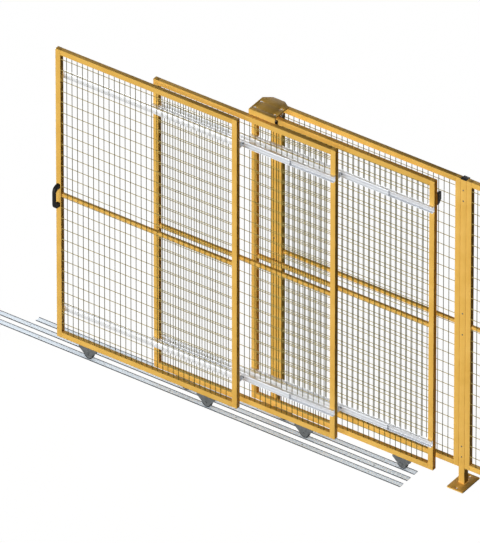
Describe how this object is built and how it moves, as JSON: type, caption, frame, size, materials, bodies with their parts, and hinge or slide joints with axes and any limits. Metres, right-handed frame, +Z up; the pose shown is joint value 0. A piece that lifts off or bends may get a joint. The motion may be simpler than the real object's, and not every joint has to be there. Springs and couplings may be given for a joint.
{
  "type": "wire mesh partition",
  "caption": "Steel tube and welded wire mesh guard fence with a telescopic sliding door whose overlapping leaves roll on floor tracks.",
  "frame": {"origin": "on the floor under the centre of the middle post", "axes": "+X along the fence to the right as seen from the door side, +Y through the fence away from the door side, +Z up"},
  "size_m": [6.182, 0.3738, 2.1243],
  "materials": {
    "frame_paint": "yellow-orange powder coat, satin",
    "mesh_wire": "olive grey coated welded wire",
    "track_steel": "bright drawn channel",
    "rail_aluminium": "natural anodised",
    "dark_steel": "dark grey coat",
    "black_plastic": "moulded black",
    "tyre": "dark grey running surface"
  },
  "bodies": {
    "fence": {"post_left": "frame_paint", "post_middle": "frame_paint", "post_right": "frame_paint", "post_cap_middle": "black_plastic", "post_cap_right": "black_plastic", "panel_left_frame": "frame_paint", "panel_left_mesh": "mesh_wire", "panel_right_frame": "frame_paint", "panel_right_mesh": "mesh_wire", "top_bracket": "frame_paint", "guide_roller_bolt_front_left": "dark_steel", "guide_roller_bolt_front_right": "dark_steel", "guide_roller_bolt_back_left": "dark_steel", "guide_roller_bolt_back_right": "dark_steel", "track_1": "track_steel", "track_2": "track_steel", "track_3": "track_steel"},
    "leaf_1": {"leaf_1_frame": "frame_paint", "leaf_1_mesh": "mesh_wire", "leaf_1_wheel_bracket_left": "dark_steel", "leaf_1_axle_left": "dark_steel", "leaf_1_wheel_bracket_right": "dark_steel", "leaf_1_axle_right": "dark_steel", "leaf_1_carrier_rail_upper": "rail_aluminium", "leaf_1_slide_bar_upper": "rail_aluminium", "leaf_1_carrier_rail_lower": "rail_aluminium", "leaf_1_slide_bar_lower": "rail_aluminium", "leaf_1_handle": "black_plastic"},
    "leaf_2": {"leaf_2_frame": "frame_paint", "leaf_2_mesh": "mesh_wire", "leaf_2_wheel_bracket_left": "dark_steel", "leaf_2_axle_left": "dark_steel", "leaf_2_wheel_bracket_right": "dark_steel", "leaf_2_axle_right": "dark_steel", "leaf_2_guide_channel_upper": "rail_aluminium", "leaf_2_carrier_rail_upper": "rail_aluminium", "leaf_2_slide_bar_upper": "rail_aluminium", "leaf_2_guide_channel_lower": "rail_aluminium", "leaf_2_carrier_rail_lower": "rail_aluminium", "leaf_2_slide_bar_lower": "rail_aluminium"},
    "leaf_3": {"leaf_3_frame": "frame_paint", "leaf_3_mesh": "mesh_wire", "leaf_3_wheel_bracket_left": "dark_steel", "leaf_3_axle_left": "dark_steel", "leaf_3_wheel_bracket_right": "dark_steel", "leaf_3_axle_right": "dark_steel", "leaf_3_guide_channel_upper": "rail_aluminium", "leaf_3_guide_channel_lower": "rail_aluminium", "leaf_3_stop": "black_plastic"},
    "roller_front_left": {"guide_roller_front_left": "black_plastic"},
    "roller_front_right": {"guide_roller_front_right": "black_plastic"},
    "roller_back_left": {"guide_roller_back_left": "black_plastic"},
    "roller_back_right": {"guide_roller_back_right": "black_plastic"},
    "wheel_1_left": {"leaf_1_wheel_left": "tyre"},
    "wheel_1_right": {"leaf_1_wheel_right": "tyre"},
    "wheel_2_left": {"leaf_2_wheel_left": "tyre"},
    "wheel_2_right": {"leaf_2_wheel_right": "tyre"},
    "wheel_3_left": {"leaf_3_wheel_left": "tyre"},
    "wheel_3_right": {"leaf_3_wheel_right": "tyre"}
  },
  "joints": [
    {"name": "leaf_1_slide", "type": "slide", "parent": "fence", "child": "leaf_1", "axis": [1, 0, 0], "range_m": [-2.19, 1.29]},
    {"name": "leaf_2_slide", "type": "slide", "parent": "fence", "child": "leaf_2", "axis": [1, 0, 0], "range_m": [-1.625, 0.665]},
    {"name": "leaf_3_slide", "type": "slide", "parent": "fence", "child": "leaf_3", "axis": [1, 0, 0], "range_m": [-1.06, 0.04]},
    {"name": "wheel_1_left_turn", "type": "hinge", "parent": "leaf_1", "child": "wheel_1_left", "pos_m": [-2.432, -0.221, 0.0373], "axis": [0, 1, 0], "range_deg": [-3710, 2190]},
    {"name": "wheel_1_right_turn", "type": "hinge", "parent": "leaf_1", "child": "wheel_1_right", "pos_m": [-1.612, -0.221, 0.0373], "axis": [0, 1, 0], "range_deg": [-3710, 2190]},
    {"name": "wheel_2_left_turn", "type": "hinge", "parent": "leaf_2", "child": "wheel_2_left", "pos_m": [-1.807, -0.149, 0.0373], "axis": [0, 1, 0], "range_deg": [-2750, 1140]},
    {"name": "wheel_2_right_turn", "type": "hinge", "parent": "leaf_2", "child": "wheel_2_right", "pos_m": [-0.987, -0.149, 0.0373], "axis": [0, 1, 0], "range_deg": [-2750, 1140]},
    {"name": "wheel_3_left_turn", "type": "hinge", "parent": "leaf_3", "child": "wheel_3_left", "pos_m": [-1.182, -0.077, 0.0373], "axis": [0, 1, 0], "range_deg": [-1800, 80]},
    {"name": "wheel_3_right_turn", "type": "hinge", "parent": "leaf_3", "child": "wheel_3_right", "pos_m": [-0.362, -0.077, 0.0373], "axis": [0, 1, 0], "range_deg": [-1800, 80]},
    {"name": "roller_front_left_turn", "type": "hinge", "parent": "fence", "child": "roller_front_left", "pos_m": [-1.357, -0.1103, 2.0705], "axis": [0, 0, 1], "range_deg": [-140, 3390]},
    {"name": "roller_front_right_turn", "type": "hinge", "parent": "fence", "child": "roller_front_right", "pos_m": [-1.223, -0.1103, 2.0705], "axis": [0, 0, 1], "range_deg": [-140, 3390]},
    {"name": "roller_back_left_turn", "type": "hinge", "parent": "fence", "child": "roller_back_left", "pos_m": [-1.357, -0.0437, 2.0705], "axis": [0, 0, 1], "range_deg": [-3390, 140]},
    {"name": "roller_back_right_turn", "type": "hinge", "parent": "fence", "child": "roller_back_right", "pos_m": [-1.223, -0.0437, 2.0705], "axis": [0, 0, 1], "range_deg": [-3390, 140]}
  ],
  "couplings": [
    {"joint": "wheel_1_left_turn", "follows": "leaf_1_slide", "rad_per_m": 29.412},
    {"joint": "wheel_1_right_turn", "follows": "leaf_1_slide", "rad_per_m": 29.412},
    {"joint": "wheel_2_left_turn", "follows": "leaf_2_slide", "rad_per_m": 29.412},
    {"joint": "wheel_2_right_turn", "follows": "leaf_2_slide", "rad_per_m": 29.412},
    {"joint": "wheel_3_left_turn", "follows": "leaf_3_slide", "rad_per_m": 29.412},
    {"joint": "wheel_3_right_turn", "follows": "leaf_3_slide", "rad_per_m": 29.412},
    {"joint": "roller_front_left_turn", "follows": "leaf_3_slide", "rad_per_m": -55.556},
    {"joint": "roller_front_right_turn", "follows": "leaf_3_slide", "rad_per_m": -55.556},
    {"joint": "roller_back_left_turn", "follows": "leaf_3_slide", "rad_per_m": 55.556},
    {"joint": "roller_back_right_turn", "follows": "leaf_3_slide", "rad_per_m": 55.556}
  ]
}
